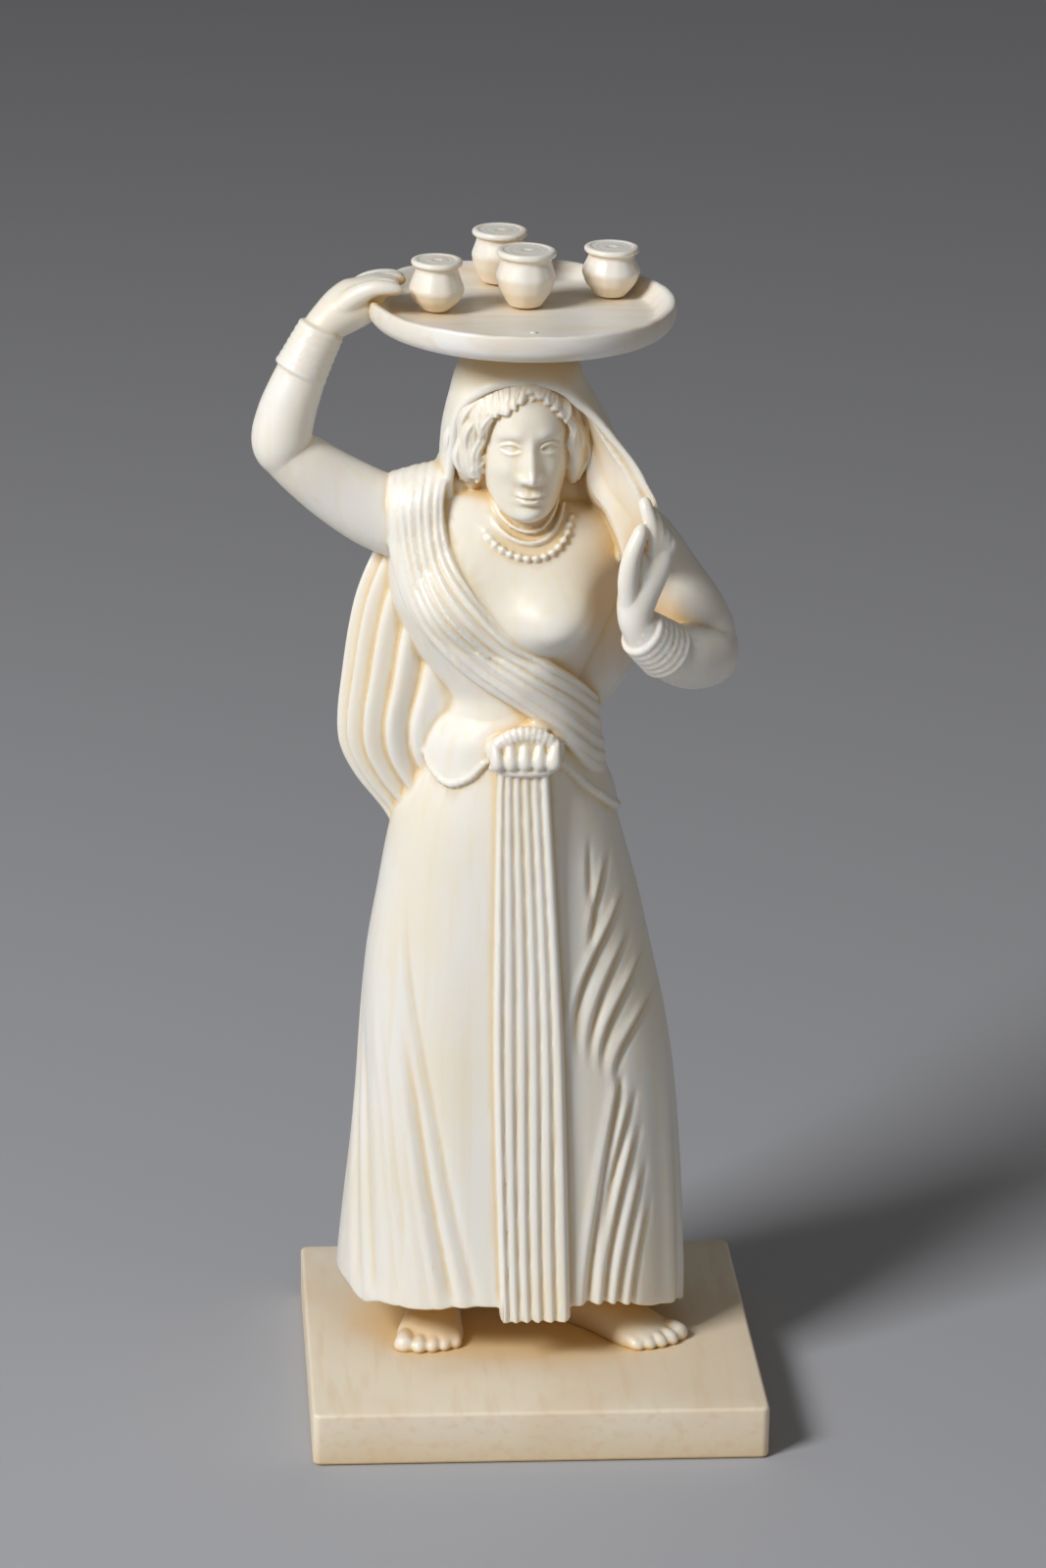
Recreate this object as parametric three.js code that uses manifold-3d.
import * as THREE from "three";
import { ParametricGeometry } from "three/addons/geometries/ParametricGeometry.js";
import { RoundedBoxGeometry } from "three/addons/geometries/RoundedBoxGeometry.js";
import { mergeVertices } from "three/addons/utils/BufferGeometryUtils.js";
import Module from "manifold-3d";

const wasm = await Module();
wasm.setup();

// Driving sizes, in millimetres. X is to the right, Y to the back, Z up.
// The origin is the middle of the plinth's underside.
const PLINTH = { width: 50, depth: 47, height: 6, edge: 0.7 };
const TRAY = {
  centre: [-2.3, 0.5, 124.95],
  forward: 2.0,
  sideways: 0.8,
  radius: 16.35,
  height: 3.2,
  recess: 1.7,
  floorRadius: 14.2,
  rimWidth: 0.8,
  gap: 0.25,
};
const PEG = { x: 0.8, y: -8.4, radius: 0.4, height: 0.3 };
const HEM_Z = 12.3;
const WAIST_Z = 78.5;
const FOLD = { count: 16, depth: 0.42, lean: 26 };

// The carved body from the hips to the raised shoulder, one row per height:
// height, middle x, middle y, half width, half depth.
const BODY = [
  [66, -3.0, 1.0, 9.6, 7.2],
  [70, -3.2, 1.0, 10.0, 7.8],
  [73.2, -3.35, 1.0, 9.75, 8.2],
  [76.7, -3.35, 0.9, 9.15, 8.1],
  [79, -3.1, 0.7, 8.3, 7.6],
  [81.5, -3.0, 0.4, 7.4, 7.2],
  [84, -3.3, 0.0, 8.6, 7.1],
  [86.3, -3.55, -0.2, 9.85, 7.2],
  [90, -3.65, -0.5, 11.45, 7.4],
  [92.7, -3.55, -0.6, 12.45, 7.4],
  [97, -3.0, -0.4, 13.2, 6.9],
  [101, -2.9, 0.0, 13.0, 5.9],
  [103, -4.6, 0.3, 11.4, 5.0],
  [104.2, -8.0, 0.6, 8.2, 4.0],
  [104.9, -11.6, 0.9, 4.4, 2.4],
];

// The skirt: height, middle x, middle y, half width, half depth.
const SKIRT = [
  [12.3, -1.6, 2.6, 19.1, 13.2],
  [24, -1.5, 2.3, 18.4, 12.5],
  [36, -1.6, 2.0, 17.6, 11.9],
  [44, -2.05, 1.8, 16.85, 11.4],
  [51, -2.6, 1.5, 15.8, 10.8],
  [58.4, -2.85, 1.2, 14.35, 10.2],
  [67, -3.25, 1.0, 12.3, 9.4],
  [72.5, -3.0, 1.0, 10.4, 8.7],
  [76, -2.8, 0.9, 9.0, 8.1],
  [78.5, -2.7, 0.8, 7.0, 6.2],
];

// The veil down the back: height, left x, right x, back y, front y.
const DRAPE = [
  [56, -17.0, 8.6, 12.6, -1.0],
  [67, -17.2, 8.2, 12.0, -1.4],
  [71, -19.7, 7.5, 11.5, -2.4],
  [74.5, -21.0, 6.8, 11.0, -3.0],
  [78, -21.3, 7.2, 10.4, -3.4],
  [83, -20.8, 10.6, 9.9, -3.6],
  [88, -20.1, 12.0, 9.5, -3.4],
  [92, -19.2, 12.8, 9.2, -3.2],
  [96, -17.6, 12.4, 9.0, -3.0],
  [99.5, -15.6, 11.0, 8.8, -3.0],
  [103, -12.6, 9.6, 8.4, -3.0],
  [106, -10.2, 8.6, 7.8, -2.6],
  [110, -9.8, 7.4, 7.6, -2.0],
  [114, -9.3, 5.6, 7.2, -1.8],
  [119, -7.8, 3.4, 5.6, -1.8],
];

// The hood around the face, by the angle seen from the front, in degrees:
// angle, distance of the opening's edge, widest distance, y of the edge.
const HOOD_CENTRE = [-1.9, -0.8, 110];
const HOOD = [
  [-44, 17.5, 15.0, -8.6],
  [-24, 15.6, 13.4, -9.0],
  [-14, 13.3, 11.4, -8.6],
  [8, 9.8, 9.5, -8.2],
  [40, 8.0, 9.0, -8.0],
  [60, 7.9, 10.6, -8.0],
  [94, 7.8, 11.8, -8.0],
  [122, 8.2, 11.2, -7.5],
  [150, 8.4, 9.2, -5.8],
  [178, 8.0, 8.8, -4.8],
  [200, 8.8, 9.5, -4.4],
  [222, 11.0, 11.2, -3.6],
];

// The inside of the veil at her left: how far along, a place by the hair or
// on the bare chest, and one at the veil's edge.
const LINING = [
  [0, 2.0, -3.4, 115.4, 2.4, -5.2, 115.8],
  [0.14, 3.0, -3.6, 114.2, 3.7, -6.0, 114.6],
  [0.28, 4.0, -4.0, 112.4, 5.1, -6.8, 112.7],
  [0.42, 4.6, -3.9, 110.0, 6.8, -7.2, 110.1],
  [0.56, 4.7, -4.0, 107.3, 8.6, -7.8, 107.6],
  [0.7, 5.0, -4.6, 104.8, 10.2, -8.4, 105.1],
  [0.82, 6.6, -5.6, 102.8, 11.5, -8.5, 102.4],
  [0.92, 7.8, -6.6, 100.4, 12.2, -7.4, 99.6],
  [1, 8.8, -7.2, 97.4, 12.4, -5.8, 97.2],
];

// The hair round the face: how far along, a place under the veil and one on
// the hairline.
const HAIR = [
  [0, -8.6, -3.0, 106.2, -6.6, -5.4, 106.6],
  [0.1, -9.2, -3.4, 108.0, -6.8, -6.0, 108.2],
  [0.22, -9.4, -3.8, 110.6, -6.9, -6.3, 110.4],
  [0.34, -8.9, -4.4, 113.2, -6.6, -6.9, 112.5],
  [0.44, -7.7, -5.4, 115.6, -5.6, -8.0, 113.8],
  [0.54, -5.5, -6.4, 117.4, -3.9, -8.6, 114.5],
  [0.62, -3.3, -6.8, 118.3, -2.7, -8.6, 115.5],
  [0.68, -1.6, -6.8, 118.5, -1.7, -8.4, 116.6],
  [0.74, 0.3, -6.4, 118.0, -0.4, -8.5, 116.0],
  [0.8, 2.1, -5.6, 116.8, 0.9, -8.2, 115.0],
  [0.86, 3.5, -4.8, 115.0, 1.9, -7.6, 113.7],
  [0.93, 4.5, -4.0, 111.4, 2.7, -6.2, 111.0],
  [1, 4.6, -3.4, 104.6, 2.7, -4.6, 104.8],
];

// The head above its pivot: height, half width, front y and back y.
const HEAD_PIVOT = new THREE.Vector3(-2.1, -1.6, 108);
const HEAD_TILT = new THREE.Euler((5 * Math.PI) / 180, 0, (4.5 * Math.PI) / 180);
const HEAD = [
  [-5.3, 1.3, -6.6, -3.6],
  [-4.6, 2.6, -7.1, -1.6],
  [-3.2, 3.7, -7.2, 1.2],
  [-1.2, 4.6, -7.2, 4.6],
  [1.2, 5.0, -7.1, 6.4],
  [3.6, 5.2, -7.0, 7.0],
  [6.0, 5.1, -6.8, 6.9],
  [8.4, 4.4, -5.7, 6.0],
  [10.4, 2.7, -3.4, 4.0],
  [11.2, 0.9, -1.2, 1.6],
];

// The sash from the shoulder across the chest: how far along, a place on
// its upper edge and one on its lower edge.
const SASH = [
  [0, -9.0, 4.6, 103.0, -16.0, 4.2, 101.0],
  [0.07, -9.3, 2.6, 105.9, -16.4, 2.6, 104.2],
  [0.13, -9.6, -0.6, 106.8, -16.9, 0.6, 105.2],
  [0.19, -9.8, -3.4, 106.2, -17.1, -1.4, 104.3],
  [0.26, -10.5, -4.9, 103.9, -16.8, -2.6, 101.6],
  [0.37, -10.2, -6.3, 100.5, -16.2, -3.4, 96.8],
  [0.49, -9.0, -7.6, 97.0, -14.7, -5.4, 92.3],
  [0.6, -6.7, -8.4, 93.5, -12.1, -6.6, 88.7],
  [0.71, -3.6, -8.6, 90.1, -8.2, -6.6, 84.8],
  [0.82, 0.7, -8.4, 87.1, -2.8, -7.3, 81.2],
  [0.91, 4.0, -5.7, 84.3, 2.4, -6.9, 77.2],
  [1, 5.7, -2.6, 81.9, 6.2, -4.2, 73.2],
  [1.08, 6.1, 0.6, 80.6, 7.7, -0.6, 71.6],
  [1.16, 5.2, 4.0, 80.0, 7.2, 4.2, 71.0],
];
const SASH_FOLDS = 5;

// The cloth over the hips, outside both trunk and skirt: height, middle x,
// middle y, half width, half depth. Then its lower edge: angle and height.
const HIPS = [
  [66, -3.2, 1.0, 12.7, 9.6],
  [68, -3.2, 1.0, 12.1, 9.35],
  [70, -3.1, 1.0, 11.5, 9.1],
  [72.5, -3.1, 1.0, 10.6, 8.8],
  [74.5, -3.2, 1.0, 10.0, 8.5],
  [76.7, -3.3, 0.9, 9.4, 8.2],
  [79, -3.1, 0.7, 8.45, 7.65],
  [81.5, -3.0, 0.4, 7.45, 7.2],
  [84, -3.3, 0.0, 8.6, 7.1],
];
const HIP_EDGE = [
  [-204, 78.6],
  [-180, 77.4],
  [-158, 75.9],
  [-145, 73.6],
  [-129, 72.3],
  [-116, 73.2],
  [-106, 75.0],
  [-96, 76.0],
  [-70, 76.0],
  [-57, 74.9],
  [-47.5, 73.1],
  [-40.5, 71.7],
  [-27.6, 69.8],
  [-12.8, 68.2],
  [5, 67.2],
  [25, 66.8],
];

const IVORY = { colour: 0xf1e7d3, roughness: 0.42 };
const WARM_IVORY = { colour: 0xe9d3b0, roughness: 0.5 };

const radians = THREE.MathUtils.degToRad;
const mix = THREE.MathUtils.lerp;
const clamp = THREE.MathUtils.clamp;
const smooth = (x, a, b) => THREE.MathUtils.smoothstep(x, a, b);
const bell = (x, width) => Math.exp(-((x / width) ** 2));

// Reads a table's columns at t along smooth curves through its rows.
function readTable(rows, t) {
  const last = rows.length - 1;
  let i = 0;
  while (i < last - 1 && t > rows[i + 1][0]) i += 1;
  const [from, to] = [rows[i], rows[i + 1]];
  const [before, after] = [rows[Math.max(i - 1, 0)], rows[Math.min(i + 2, last)]];
  const span = to[0] - from[0];
  const f = clamp((t - from[0]) / span, 0, 1);
  const [f2, f3] = [f * f, f * f * f];
  return from.slice(1).map((value, k) => {
    const c = k + 1;
    const startSlope = ((to[c] - before[c]) / (to[0] - before[0])) * span;
    const endSlope = ((after[c] - from[c]) / (after[0] - from[0])) * span;
    return (
      (2 * f3 - 3 * f2 + 1) * value +
      (f3 - 2 * f2 + f) * startSlope +
      (3 * f2 - 2 * f3) * to[c] +
      (f3 - f2) * endSlope
    );
  });
}

// A closed geometry as a solid, with its faces turned outwards.
function toSolid(geometry) {
  const bare = geometry.clone();
  bare.deleteAttribute("normal");
  bare.deleteAttribute("uv");
  const merged = mergeVertices(bare, 1e-4);
  const index = merged.index.array;
  const faces = [];
  for (let i = 0; i < index.length; i += 3) {
    const [a, b, c] = [index[i], index[i + 1], index[i + 2]];
    if (a !== b && b !== c && c !== a) faces.push(a, b, c);
  }
  const vertProperties = new Float32Array(merged.attributes.position.array);
  const build = (list) =>
    new wasm.Manifold(new wasm.Mesh({ numProp: 3, vertProperties, triVerts: new Uint32Array(list) }));
  const solid = build(faces);
  return solid.volume() < 0 ? build(faces.reverse()) : solid;
}

// A closed body made of rings: ring(turn, along, point) gives the surface,
// and each end is closed to the middle of its last ring.
function ringBody(ring, around, along) {
  const rows = along + 2;
  const middle = (s) => {
    const sum = new THREE.Vector3();
    const point = new THREE.Vector3();
    for (let k = 0; k < around; k += 1) {
      ring(k / around, s, point);
      sum.add(point);
    }
    return sum.divideScalar(around);
  };
  const [first, last] = [middle(0), middle(1)];
  const surface = (u, v, point) => {
    const row = Math.round(v * rows);
    const turn = Math.round(u * around) % around;
    if (row === 0) point.copy(first);
    else if (row === rows) point.copy(last);
    else ring(turn / around, (row - 1) / along, point);
  };
  return toSolid(new ParametricGeometry(surface, around, rows));
}

// A limb along a smooth path. Each row is x, y, z and the two half widths
// of its section: across the side direction, and square to it.
function limb(rows, side, around, along) {
  const curve = new THREE.CatmullRomCurve3(rows.map((r) => new THREE.Vector3(r[0], r[1], r[2])));
  const widths = rows.map((r, i) => [i / (rows.length - 1), r[3], r[4] ?? r[3]]);
  const sideways = new THREE.Vector3(...side);
  return ringBody(
    (turn, s, point) => {
      const tangent = curve.getTangent(s);
      const across = sideways.clone().addScaledVector(tangent, -sideways.dot(tangent)).normalize();
      const up = new THREE.Vector3().crossVectors(tangent, across);
      const [a, b] = readTable(widths, s);
      const angle = 2 * Math.PI * turn;
      point.copy(curve.getPoint(s));
      point.addScaledVector(across, a * Math.cos(angle));
      point.addScaledVector(up, b * Math.sin(angle));
    },
    around,
    along,
  );
}

// A slab of cloth or hair. surface(s, f, point) gives a place on it, and
// relief and thickness say how far its face and its back lie from there,
// along the surface's own normal, which points away from a place inside.
function sheet(surface, relief, thickness, inside, across, along) {
  const round = 2 * across + 2;
  const centre = new THREE.Vector3(...inside);
  const step = 0.02;
  const at = (s, f) => {
    const place = new THREE.Vector3();
    surface(clamp(s, 0, 1), clamp(f, 0, 1), place);
    return place;
  };
  return ringBody(
    (turn, s, point) => {
      const k = Math.round(turn * round);
      const face = k <= across;
      const f = (face ? k : round - 1 - k) / across;
      const here = at(s, f);
      const onward = at(s + step, f).sub(at(s - step, f));
      const normal = onward.cross(at(s, f + step).sub(at(s, f - step))).normalize();
      if (normal.dot(here.clone().sub(centre)) < 0) normal.negate();
      point.copy(here).addScaledVector(normal, face ? relief(s, f) : -thickness(s, f));
    },
    round,
    along,
  );
}

// A place between the two edges of a table, a share f of the way across.
function between(table, t, f, point) {
  const [ax, ay, az, bx, by, bz] = readTable(table, t);
  point.set(mix(ax, bx, f), mix(ay, by, f), mix(az, bz, f));
}

function ellipsoid(centre, radii, around = 16, along = 10) {
  const geometry = new THREE.SphereGeometry(1, around, along);
  geometry.scale(...radii);
  geometry.translate(...centre);
  return toSolid(geometry);
}

// A string of beads along a path: a thin limb that swells at every bead.
function beads(points, radius, count) {
  const curve = new THREE.CatmullRomCurve3(points.map((p) => new THREE.Vector3(...p)));
  return ringBody(
    (turn, s, point) => {
      const tangent = curve.getTangentAt(s);
      const out = new THREE.Vector3(0, -1, 0).addScaledVector(tangent, tangent.y).normalize();
      const side = new THREE.Vector3().crossVectors(tangent, out);
      const r = radius * (0.72 + 0.28 * Math.cos(2 * Math.PI * count * s));
      const angle = 2 * Math.PI * turn;
      point.copy(curve.getPointAt(s));
      point.addScaledVector(out, r * Math.cos(angle)).addScaledVector(side, r * Math.sin(angle));
    },
    4,
    count * 2,
  );
}

// A stack of bangles around a limb from one point to another.
function bangles(from, to, startRadius, endRadius, count) {
  const [a, b] = [new THREE.Vector3(...from), new THREE.Vector3(...to)];
  const axis = b.clone().sub(a).normalize();
  const side = new THREE.Vector3(0, 1, 0).addScaledVector(axis, -axis.y).normalize();
  const up = new THREE.Vector3().crossVectors(axis, side);
  return ringBody(
    (turn, s, point) => {
      const ridge = 0.32 * (0.5 - 0.5 * Math.cos(2 * Math.PI * count * s));
      const r = mix(startRadius, endRadius, s) + ridge;
      const angle = 2 * Math.PI * turn;
      point.copy(a).lerp(b, s);
      point.addScaledVector(side, r * Math.cos(angle)).addScaledVector(up, r * Math.sin(angle));
    },
    8,
    count * 2,
  );
}

// Leaning folds of the skirt. They close in on the middle of the front
// towards the hem, and hang straight at the back.
function skirtFold(degrees, z) {
  const off = Math.abs(THREE.MathUtils.euclideanModulo(degrees + 270, 360) - 180);
  const front = 1 - smooth(off, 95, 140);
  const climb = ((z - HEM_Z) / 50) ** 1.7;
  const phase = FOLD.count * radians(off - front * FOLD.lean * climb);
  const strength = FOLD.depth * (1 - 0.75 * smooth(z, 48, 74)) * smooth(off, 12, 24);
  return strength * Math.cos(phase);
}

function skirt() {
  return ringBody(
    (turn, s, point) => {
      const angle = 2 * Math.PI * turn;
      const degrees = 360 * turn;
      const z = mix(HEM_Z, WAIST_Z, s);
      const [cx, cy, rx, ry] = readTable(SKIRT, z);
      const boxy = mix(0.84, 1, smooth(z, 20, 66));
      const curl = (value) => Math.sign(value) * Math.abs(value) ** boxy;
      const flare = 0.9 * bell(degrees - 176, 13) * (1 - smooth(z, 12, 38));
      const out = skirtFold(degrees, z) + flare;
      const wave = s === 0 ? 0.22 * Math.cos(radians(degrees * 9)) : 0;
      point.x = cx + (rx + out) * curl(Math.cos(angle));
      point.y = cy + (ry + out) * curl(Math.sin(angle));
      point.z = z + wave;
    },
    64,
    5,
  );
}

// The raised band of straight pleats down the middle of the skirt.
function pleatBand() {
  const edges = [
    [11.7, -4.1, 3.7, -11.4],
    [41, -5.0, 2.9, -10.5],
    [60, -4.9, 2.1, -9.9],
    [75.4, -4.7, 1.4, -9.2],
  ];
  const front = 12;
  return ringBody(
    (turn, s, point) => {
      const k = Math.round(turn * 26);
      const z = mix(11.7, 75.4, s);
      const [left, right, face] = readTable(edges, z);
      const across = k <= front ? k / front : (25 - k) / front;
      const pleat = k % 2 === 0 ? 0.28 : -0.28;
      point.x = mix(left, right, clamp(across, 0, 1));
      point.y = k <= front ? face + pleat : face + 3;
      point.z = z;
    },
    26,
    3,
  );
}

// A point on the body's surface, standing out by the given distance.
function onBody(degrees, z, out, point) {
  const [cx, cy, rx, ry] = readTable(BODY, z);
  const angle = radians(degrees);
  const turned = THREE.MathUtils.euclideanModulo(degrees + 180, 360) - 180;
  const bare = 3.0 * bell(turned + 70, 24) * bell(z - 90.8, z > 90.8 ? 5.4 : 3.6);
  const covered = 1.7 * bell(turned + 122, 24) * bell(z - 92, 5);
  const stand = out + bare + covered;
  point.x = cx + (rx + stand) * Math.cos(angle);
  point.y = cy + (ry + stand) * Math.sin(angle);
  point.z = z;
}

function torso() {
  return ringBody((turn, s, point) => onBody(360 * turn, mix(67, 104.9, s), 0, point), 14, 8);
}

function sash() {
  return sheet(
    (s, f, point) => {
      between(SASH, 1.16 * s, f, point);
      const bow = 4 * f * (1 - f);
      point.y -= 0.9 * bow * smooth(s, 0.12, 0.4);
      point.z -= 0.5 * bow * smooth(s, 0.3, 0.6);
    },
    (s, f) => 0.45 + 0.3 * smooth(s, 0.1, 0.25) * Math.cos(2 * Math.PI * SASH_FOLDS * f),
    () => 3.4,
    [-4, 2, 96],
    2 * SASH_FOLDS,
    10,
  );
}

function onHips(degrees, z, out, point) {
  const [cx, cy, rx, ry] = readTable(HIPS, z);
  const angle = radians(degrees);
  point.set(cx + (rx + out) * Math.cos(angle), cy + (ry + out) * Math.sin(angle), z);
}

// The cloth drawn over the hips, which ends in a hanging curve on each side.
function hipCloth() {
  return sheet(
    (s, f, point) => {
      const degrees = mix(-204, 25, s);
      const [edge] = readTable(HIP_EDGE, degrees);
      onHips(degrees, mix(edge, 83, f), 0, point);
    },
    (s, f) => 0.35 - 0.85 * f,
    () => 1.6,
    [-3.3, 1, 77],
    1,
    13,
  );
}

// The veil from the shoulders down the back, with its bag of folds that
// hangs out behind the raised arm. Its hem rises to the right hip.
function drape() {
  return ringBody(
    (turn, s, point) => {
      const degrees = turn < 0.86 ? mix(-12, 236, turn / 0.86) : mix(236, 348, (turn - 0.86) / 0.14);
      const angle = radians(degrees);
      const hem = 66.8 - 8 * bell(degrees - 100, 52) + 9 * bell(degrees - (degrees > 180 ? 380 : 20), 34);
      const z = mix(hem, 118, s);
      const [xl, xr, yb, yf] = readTable(DRAPE, z);
      const cx = mix(xl, xr, 0.56);
      const cy = 2.6;
      const long = Math.cos(radians(14 * (degrees - 90) + 2.0 * (z - 60)));
      const reach = 0.5 * long * (1 - smooth(z, 98, 110)) * (1 - smooth(degrees, 236, 250));
      const rx = (Math.cos(angle) < 0 ? cx - xl : xr - cx) + reach;
      const ry = (Math.sin(angle) < 0 ? cy - yf : yb - cy) + reach;
      point.set(cx + rx * Math.cos(angle), cy + ry * Math.sin(angle), z);
    },
    26,
    5,
  );
}

// The hood: a shell around the head, open to the front.
function hood() {
  const [ox, oy, oz] = HOOD_CENTRE;
  const across = 15;
  const deep = 3;
  const thickness = 1.1;
  const round = 2 * deep;
  return ringBody(
    (turn, s, point) => {
      const k = Math.round(turn * round);
      const [edge, wide, edgeY] = readTable(HOOD, mix(-40, 218, s));
      const inner = k > deep;
      const f = inner ? (round - k) / deep : k / deep;
      const sweep = mix(-1, 1, f);
      const behind = sweep > 0;
      const quarter = (sweep * Math.PI) / 2;
      const back = oy + (inner ? 7.2 : 8.4) * Math.sin(quarter);
      const y = behind ? back : oy + (oy - edgeY) * sweep;
      const open = behind ? wide * Math.cos(quarter) : mix(wide, edge, sweep * sweep);
      const r = Math.max(open - (inner ? thickness : 0), 0.6);
      const angle = radians(mix(-40, 218, s));
      point.set(ox + r * Math.cos(angle), y, oz + r * Math.sin(angle));
    },
    round,
    across,
  );
}

// The inside of the veil beside the face, which runs down over the shoulder.
function lining() {
  return sheet(
    (s, f, point) => between(LINING, mix(0.2, 1, s), f, point),
    (s, f) => 0.2 + 0.2 * Math.cos(4 * Math.PI * f) * smooth(s, 0.1, 0.4),
    (s, f) => mix(3, 0.5, Math.sqrt(f)),
    [-1.9, 6, 108],
    4,
    7,
  );
}

// The stuffing of the hood behind the face, and the pad under the tray.
function crown() {
  const pad = limb(
    [
      [-2.1, 0.2, 112, 6.6, 6.2],
      [-2.3, -0.2, 117, 6.0, 6.2],
      [-2.3, -0.4, 122.6, 5.6, 5.9],
    ],
    [1, 0, 0],
    12,
    2,
  );
  const side = ellipsoid([-7.4, -1.0, 110.2], [1.9, 3.8, 6.4], 6, 5);
  return ellipsoid([-1.8, 1.4, 110], [8.2, 6.4, 9.2], 12, 6).add(pad).add(side);
}

// The head: rings from the chin up to the crown, with brow, nose, lips,
// chin and eye hollows raised or sunk on the front.
function head() {
  return ringBody(
    (turn, s, point) => {
      const rise = mix(s, 0.5 - 0.5 * Math.cos(Math.PI * s), 0.35);
      const level = mix(-5.3, 11.2, rise);
      const [wide, front, back] = readTable(HEAD, level);
      const around = 2 * Math.PI * turn;
      const angle = around - Math.PI / 2 - 0.6 * Math.sin(around);
      const [c, n] = [Math.cos(angle), Math.sin(angle)];
      const x = wide * Math.sign(c) * Math.abs(c) ** 0.92;
      const y = n < 0 ? mix((front + back) / 2, front, -n) : mix((front + back) / 2, back, n);
      const side = Math.abs(x);
      const nose = 1.5 * bell(x, 0.8) * smooth(level, -1.5, -0.6) * (1 - smooth(level, -0.6, 4.2));
      const bridge = 0.55 * bell(x, 0.85) * bell(level - 2.8, 1.8);
      const brow = 0.35 * bell(level - 4.0, 0.8) * bell(side - 1.9, 1.7);
      const eye = -0.75 * bell(side - 1.9, 1.1) * bell(level - 2.9, 0.9);
      const lips = 0.42 * bell(x, 1.4) * bell(level + 2.6, 0.8);
      const chin = 0.4 * bell(x, 1.4) * bell(level + 4.4, 0.9);
      const relief = (nose + bridge + brow + eye + lips + chin) * smooth(-n, 0, 0.5);
      point.set(x, y - relief, level).applyEuler(HEAD_TILT).add(HEAD_PIVOT);
    },
    16,
    12,
  );
}

// Moves a place forwards until it lies just outside the bare skull.
function ontoSkull(point) {
  const back = new THREE.Quaternion().setFromEuler(HEAD_TILT).invert();
  for (let round = 0; round < 4; round += 1) {
    const own = point.clone().sub(HEAD_PIVOT).applyQuaternion(back);
    const [wide, front, rear] = readTable(HEAD, clamp(own.z, -5.2, 11));
    const middle = (front + rear) / 2;
    const share = Math.min(Math.abs(own.x) / wide, 0.999) ** (1 / 0.92);
    const skin = middle + (front - middle) * Math.sqrt(1 - share * share);
    point.y -= clamp(own.y - skin + 0.12, 0, 4);
  }
}

// The hair: a cap over the skull and the combed hair round the face, with
// its grooved strands.
function hair() {
  const combed = sheet(
    (s, f, point) => {
      between(HAIR, s, f, point);
      ontoSkull(point);
    },
    (s, f) => (0.34 + 0.13 * Math.cos(Math.PI * Math.round(17 * s))) * (1 - f ** 4),
    () => 1.3,
    [-2, 2, 112],
    2,
    17,
  );
  return ellipsoid([-2.1, 0.8, 111.6], [6.7, 6.8, 7.6], 10, 6).add(combed);
}

function neck() {
  return limb(
    [
      [-1.7, -1.0, 97, 7.4, 5.4],
      [-1.7, -1.6, 100, 5.0, 4.7],
      [-1.8, -2.0, 103, 4.0, 4.2],
      [-1.9, -1.8, 108, 4.0, 4.5],
    ],
    [1, 0, 0],
    12,
    3,
  );
}

function necklace() {
  const points = [
    [-6.5, -4.6, 102.0],
    [-5.9, -6.2, 100.4],
    [-4.6, -7.2, 99.2],
    [-2.8, -7.7, 98.4],
    [-0.8, -7.8, 98.2],
    [1.1, -7.3, 98.8],
    [2.5, -6.4, 100.3],
    [3.2, -5.0, 102.0],
  ];
  return beads(points, 0.5, 8);
}

// The girdle: the notched edge of the cloth on both hips, and in front the
// row of pods under its notched arch.
function girdle() {
  const hem = HIP_EDGE.map(([degrees, z]) => {
    const point = new THREE.Vector3();
    onHips(degrees, z + 0.2, 0.3, point);
    return point.toArray();
  });
  const arch = [
    [-5.4, -8.2, 76.0],
    [-4.6, -8.5, 77.7],
    [-2.2, -8.6, 78.8],
    [0.6, -8.5, 78.2],
    [2.2, -8.1, 76.8],
  ];
  const pods = [-4.75, -3.3, -1.8, -0.3, 1.25].map((x) =>
    ellipsoid([x, -8.9, 76.0], [0.85, 1.2, 1.6], 5, 4),
  );
  const pad = ellipsoid([-1.7, -6.8, 76.6], [4.9, 2.3, 2.4], 8, 5);
  return [beads(hem.slice(1, 8), 0.45, 8), beads(hem.slice(9, 15), 0.5, 6), beads(arch, 0.9, 6), pad, ...pods];
}

function raisedArm() {
  const upper = limb(
    [
      [-10.8, 0.4, 99.2, 3.4],
      [-13.2, 0.4, 100.2, 4.5],
      [-17.3, 0.4, 101.4, 4.2],
      [-21.6, 0, 104.0, 3.8],
      [-25.2, -0.8, 106.8, 3.35],
      [-27.4, -1.3, 108.6, 2.9],
    ],
    [0, 1, 0],
    10,
    5,
  );
  const fore = limb(
    [
      [-26.8, -1.3, 106.9, 2.2],
      [-27.7, -1.5, 109.4, 3.15],
      [-27.2, -1.5, 112.6, 3.1],
      [-25.75, -1.4, 116.6, 2.75],
      [-24.3, -1.1, 119.8, 2.35],
      [-22.9, -0.6, 122.4, 2.1],
    ],
    [0, 1, 0],
    10,
    5,
  );
  const stack = bangles([-25.75, -1.35, 117.1], [-23.35, -1.0, 121.9], 2.8, 2.2, 3);
  return [upper, fore, stack];
}

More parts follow.
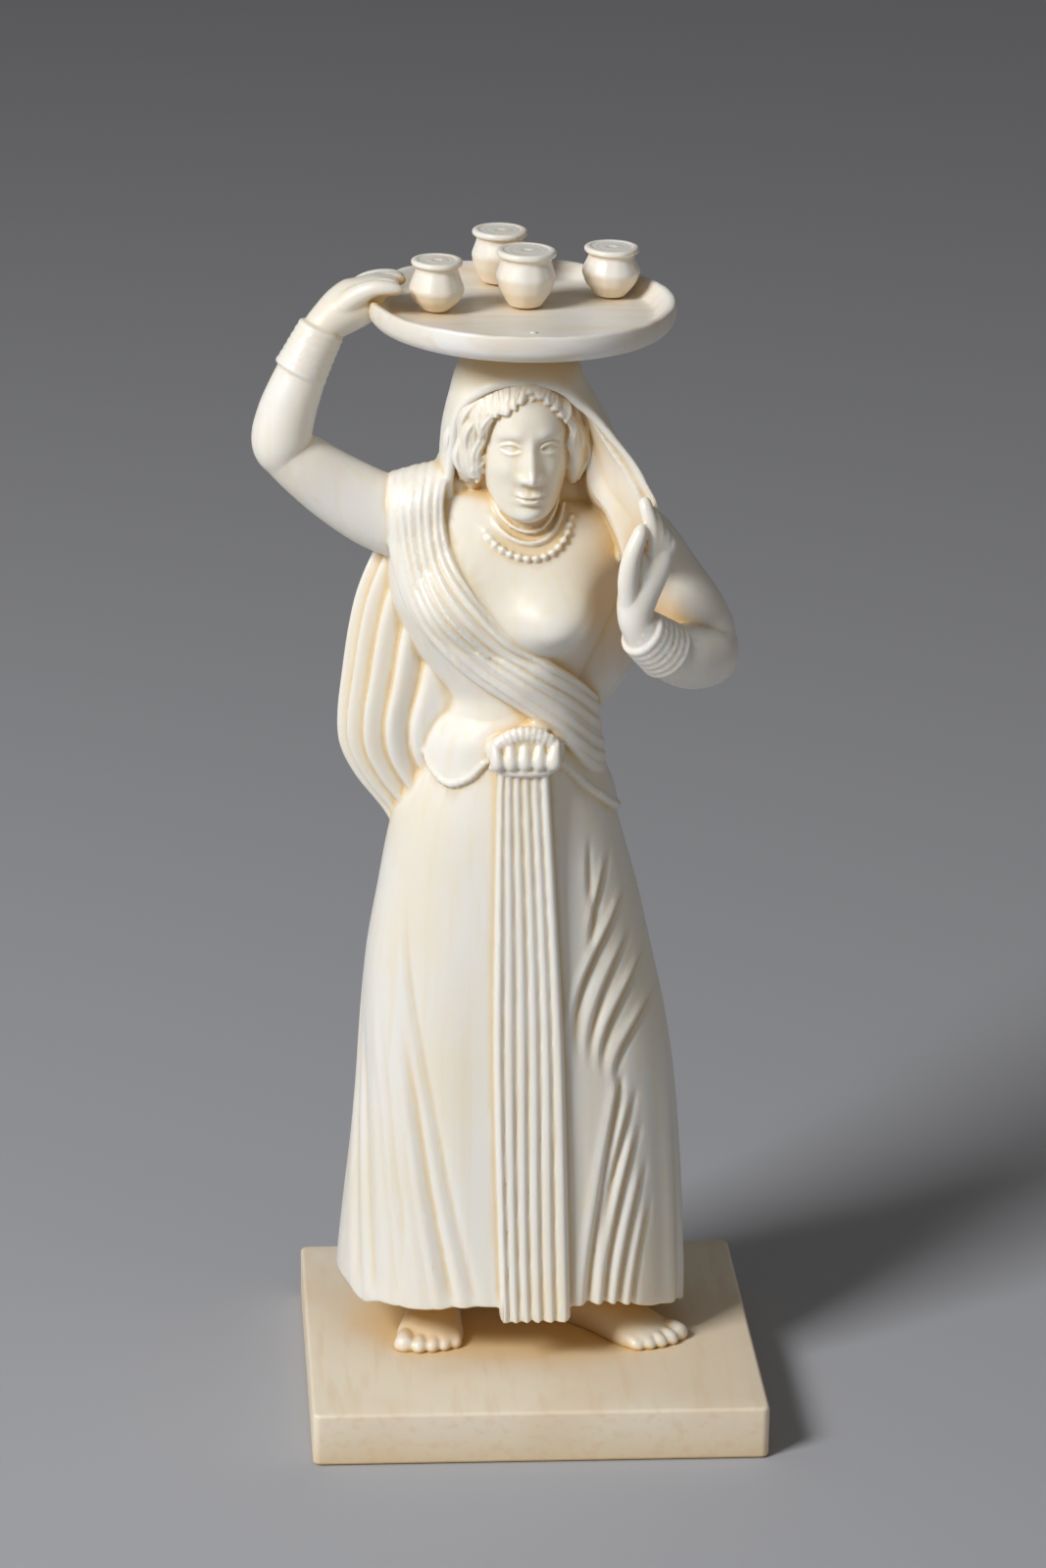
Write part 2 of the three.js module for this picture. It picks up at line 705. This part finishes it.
// The raised hand: the palm against the tray's edge, four flat fingers
// over its rim and the thumb in front of them.
function raisedHand() {
  const palm = limb(
    [
      [-24.2, -0.9, 120.6, 2.0, 1.9],
      [-23.1, -0.7, 122.1, 2.2, 2.1],
      [-21.1, 0.0, 123.6, 2.6, 2.6],
      [-19.3, 0.7, 124.6, 2.9, 2.6],
      [-17.7, 1.3, 125.7, 2.9, 1.6],
      [-16.2, 1.7, 126.2, 2.7, 0.9],
    ],
    [0, 1, 0],
    9,
    5,
  );
  const fingers = [0, 1, 2, 3].map((i) => {
    const y = -0.5 + 1.35 * i;
    const reach = [-1.2, -1.1, -0.3, -0.4][i];
    return limb(
      [
        [-20.2, y, 124.9, 0.9],
        [-18.4, y + 0.1, 126.0, 0.88],
        [-16.2 + reach / 2, y + 0.25, 126.35, 0.82],
        [-14.0 + reach, y + 0.4, 126.2, 0.56],
      ],
      [0, 1, 0],
      5,
      3,
    );
  });
  const thumb = limb(
    [
      [-21.4, -1.4, 124.2, 1.2],
      [-19.6, -2.0, 125.7, 1.1],
      [-17.9, -2.5, 126.5, 0.92],
      [-16.2, -2.7, 126.5, 0.78],
      [-14.7, -2.7, 126.2, 0.45],
    ],
    [0, 1, 0],
    6,
    4,
  );
  return [palm, thumb, ...fingers];
}

function loweredArm() {
  const upper = limb(
    [
      [7.6, 1.2, 98.6, 3.0],
      [9.4, 0.9, 98.4, 4.1],
      [11.4, 0.4, 96.9, 4.1],
      [13.8, -0.3, 93.9, 3.9],
      [16.6, -1.2, 90.2, 3.8],
      [18.2, -2.2, 87.4, 3.4],
    ],
    [0, 1, 0],
    10,
    5,
  );
  const fore = limb(
    [
      [19.2, -2.6, 86.4, 3.0],
      [17.8, -4.0, 86.2, 3.5],
      [15.4, -6.4, 86.9, 3.45],
      [12.7, -8.8, 88.6, 2.85],
      [10.9, -10.2, 90.2, 2.3],
      [10.0, -11.0, 92.0, 1.9],
    ],
    [0, 0, 1],
    10,
    5,
  );
  const elbow = ellipsoid([18.2, -2.5, 86.6], [3.5, 3.5, 3.4], 8, 6);
  const stack = bangles([13.3, -8.2, 88.0], [10.2, -10.8, 91.0], 3.1, 2.3, 3);
  return [upper, fore, elbow, stack];
}

// The lowered hand, held upright with the veil's edge between the fingers.
function loweredHand() {
  const palm = limb(
    [
      [10.3, -10.8, 90.8, 1.9, 1.8],
      [9.6, -11.2, 92.8, 1.9, 1.8],
      [9.9, -11.2, 95.2, 2.2, 1.5],
      [10.9, -10.9, 97.6, 2.2, 1.3],
      [11.6, -10.6, 99.4, 2.0, 1.1],
      [11.9, -10.3, 100.8, 1.4, 0.8],
    ],
    [1, 0, 0],
    9,
    5,
  );
  const tips = [
    [10.5, 105.5],
    [11.3, 104.3],
    [12.0, 102.9],
    [12.7, 101.6],
  ];
  const fingers = tips.map(([x, top], i) => {
    const knuckle = [11.3 + 0.55 * i, -10.9 + 0.25 * i, 99.2 + 0.1 * i];
    return limb(
      [
        [...knuckle, 0.85],
        [mix(knuckle[0], x, 0.55) + 0.35, -11.2 + 0.35 * i, mix(knuckle[2], top, 0.5), 0.84],
        [x + 0.1, -10.8 + 0.4 * i, mix(knuckle[2], top, 0.85), 0.76],
        [x - 0.1, -9.9 + 0.4 * i, top, 0.5],
      ],
      [1, 0, 0],
      5,
      3,
    );
  });
  const thumb = limb(
    [
      [8.9, -11.6, 94.4, 1.15],
      [8.7, -12.3, 97.2, 1.12],
      [9.0, -12.6, 99.8, 1.0],
      [9.8, -12.3, 102.0, 0.85],
      [10.1, -11.9, 103.2, 0.5],
    ],
    [1, 0, 0],
    6,
    4,
  );
  return [palm, thumb, ...fingers];
}

// A bare foot flat on the plinth, pointing at the given angle from the
// front, and the ankle that carries the figure.
function foot(toe, degrees, mirrored) {
  const turn = radians(degrees);
  const forward = new THREE.Vector3(Math.sin(turn), -Math.cos(turn), 0);
  const side = new THREE.Vector3(Math.cos(turn), Math.sin(turn), 0).multiplyScalar(mirrored ? -1 : 1);
  const at = (along, across, z) =>
    new THREE.Vector3(toe[0], toe[1], PLINTH.height + z)
      .addScaledVector(forward, -along)
      .addScaledVector(side, across)
      .toArray();
  const sole = limb(
    [
      [...at(17.4, 0.2, 0.8), 1.6, 1.6],
      [...at(15.0, 0.2, 1.0), 2.7, 2.8],
      [...at(9.5, 0.1, 1.0), 2.9, 3.3],
      [...at(4.5, 0.0, 0.6), 3.7, 2.1],
      [...at(1.4, 0.0, 0.4), 3.5, 1.2],
    ],
    side.toArray(),
    8,
    4,
  );
  const toes = [0, 1, 2, 3, 4].map((i) => {
    const across = [-2.6, -0.95, 0.5, 1.8, 2.9][i];
    const back = [0.3, 0.2, 0.5, 1.0, 1.8][i];
    const width = [1.15, 0.85, 0.8, 0.75, 0.7][i];
    return limb(
      [
        [...at(back + 3.0, across * 0.95, 0.5), width, width],
        [...at(back + 1.2, across, 0.6), width, width],
        [...at(back, across, 0.4), width * 0.75, width * 0.7],
      ],
      side.toArray(),
      5,
      2,
    );
  });
  const ankle = limb(
    [
      [...at(13.2, 0.1, 1.0), 2.2, 2.6],
      [...at(12.6, 0.1, 5.0), 2.1, 2.3],
      [...at(12.2, 0.1, 10.0), 2.6, 2.8],
    ],
    side.toArray(),
    6,
    2,
  );
  return [sole, ankle, ...toes];
}

// The tray's profile from the middle of its underside to the middle of
// its floor, grown outwards by the given gap. Its rim's top is at zero.
function trayProfile(gap) {
  const { radius, height, recess, floorRadius, rimWidth } = TRAY;
  const low = -height - gap;
  const wide = radius + gap;
  return [
    [0, low],
    [radius - 2.0, low],
    [wide - 0.9, low + 0.25],
    [wide - 0.25, low + 1.0],
    [wide, -1.1],
    [wide - 0.12, gap - 0.25],
    [radius - 0.45, gap],
    [radius - rimWidth, gap - 0.05],
    [floorRadius, gap - recess],
    [0, gap - recess],
  ].map(([x, y]) => new THREE.Vector2(Math.max(x, 0), y));
}

function latheAlongZ(profile, segments) {
  return new THREE.LatheGeometry(profile, segments).rotateX(Math.PI / 2);
}

// A covered water jar: foot, belly, short neck, wide lip and sunk lid.
function jarGeometry({ height, lip, belly, bellyAt, base }) {
  const profile = [
    [0, 0],
    [base - 0.15, 0],
    [base, 0.15],
    [mix(base, belly, 0.72), height * bellyAt * 0.55],
    [belly, height * bellyAt],
    [lip - 0.5, height * 0.8],
    [lip, height * 0.9],
    [lip - 0.03, height * 0.97],
    [lip - 0.3, height],
    [lip - 0.55, height - 0.18],
    [0.4, height - 0.16],
    [0, height - 0.3],
  ].map(([x, y]) => new THREE.Vector2(x, y));
  return latheAlongZ(profile, 10);
}

const JARS = {
  jar_front_left: { x: -9.1, y: -0.4, height: 5.5, lip: 2.75, belly: 3.0, bellyAt: 0.4, base: 1.5 },
  jar_back: { x: -1.7, y: 11.3, height: 5.8, lip: 3.0, belly: 3.0, bellyAt: 0.52, base: 1.9 },
  jar_front_centre: { x: 0.5, y: 1.8, height: 6.1, lip: 3.2, belly: 3.2, bellyAt: 0.52, base: 1.85 },
  jar_right: { x: 10.0, y: 6.2, height: 5.4, lip: 2.95, belly: 3.15, bellyAt: 0.5, base: 1.7 },
};

// The tray's place above the figure, with its slight lean.
function placeTray(object) {
  object.position.set(...TRAY.centre);
  object.rotation.set(radians(TRAY.forward), radians(TRAY.sideways), 0);
  object.updateMatrixWorld(true);
}

// The space the tray needs, with clearance, to cut from the figure.
function trayRoom() {
  const profile = trayProfile(TRAY.gap).slice(0, 8);
  profile.push(new THREE.Vector2(0, TRAY.gap - 0.05));
  const geometry = latheAlongZ(profile, 32);
  const holder = new THREE.Object3D();
  placeTray(holder);
  geometry.applyMatrix4(holder.matrixWorld);
  return toSolid(geometry);
}

function trayGeometry() {
  const peg = new THREE.CylinderGeometry(PEG.radius * 0.8, PEG.radius, PEG.height + 0.4, 8);
  peg.rotateX(Math.PI / 2);
  peg.translate(PEG.x, PEG.y, -TRAY.recess + PEG.height / 2 - 0.2);
  return toGeometry(toSolid(latheAlongZ(trayProfile(0), 32)).add(toSolid(peg)));
}

function toGeometry(solid) {
  const { vertProperties, triVerts } = solid.getMesh();
  const geometry = new THREE.BufferGeometry();
  geometry.setAttribute("position", new THREE.BufferAttribute(vertProperties, 3));
  geometry.setIndex(new THREE.BufferAttribute(triVerts, 1));
  geometry.computeVertexNormals();
  return geometry;
}

function figureGeometry() {
  const parts = [
    skirt(),
    pleatBand(),
    torso(),
    hipCloth(),
    drape(),
    sash(),
    crown(),
    hood(),
    lining(),
    head(),
    hair(),
    neck(),
    necklace(),
    ...girdle(),
    ...raisedArm(),
    ...raisedHand(),
    ...loweredArm(),
    ...loweredHand(),
    ...foot([-11.8, -7.6], -8, false),
    ...foot([14.6, -6.2], 44, true),
  ];
  const joined = parts.reduce((whole, part) => whole.add(part));
  const wide = 2 * PLINTH.width;
  const deep = 3 * PLINTH.height;
  const below = new THREE.BoxGeometry(wide, wide, deep);
  below.translate(0, 0, PLINTH.height - deep / 2);
  return toGeometry(joined.subtract(trayRoom()).subtract(toSolid(below)));
}

function named(name, geometry, finish) {
  const { colour, roughness } = finish;
  const material = new THREE.MeshStandardMaterial({ color: colour, roughness, metalness: 0 });
  const mesh = new THREE.Mesh(geometry, material);
  mesh.name = name;
  return mesh;
}

function plinthMesh() {
  const { width, depth, height, edge } = PLINTH;
  const mesh = named("plinth", new RoundedBoxGeometry(width, depth, height, 1, edge), WARM_IVORY);
  mesh.position.z = height / 2;
  return mesh;
}

const statue = new THREE.Group();
statue.add(plinthMesh(), named("figure", figureGeometry(), IVORY));

const carried = new THREE.Group();
placeTray(carried);
carried.add(named("tray", trayGeometry(), IVORY));
for (const [name, size] of Object.entries(JARS)) {
  const jar = named(name, jarGeometry(size), IVORY);
  jar.position.set(size.x, size.y, -TRAY.recess + TRAY.gap);
  carried.add(jar);
}
statue.add(carried);

export default statue;
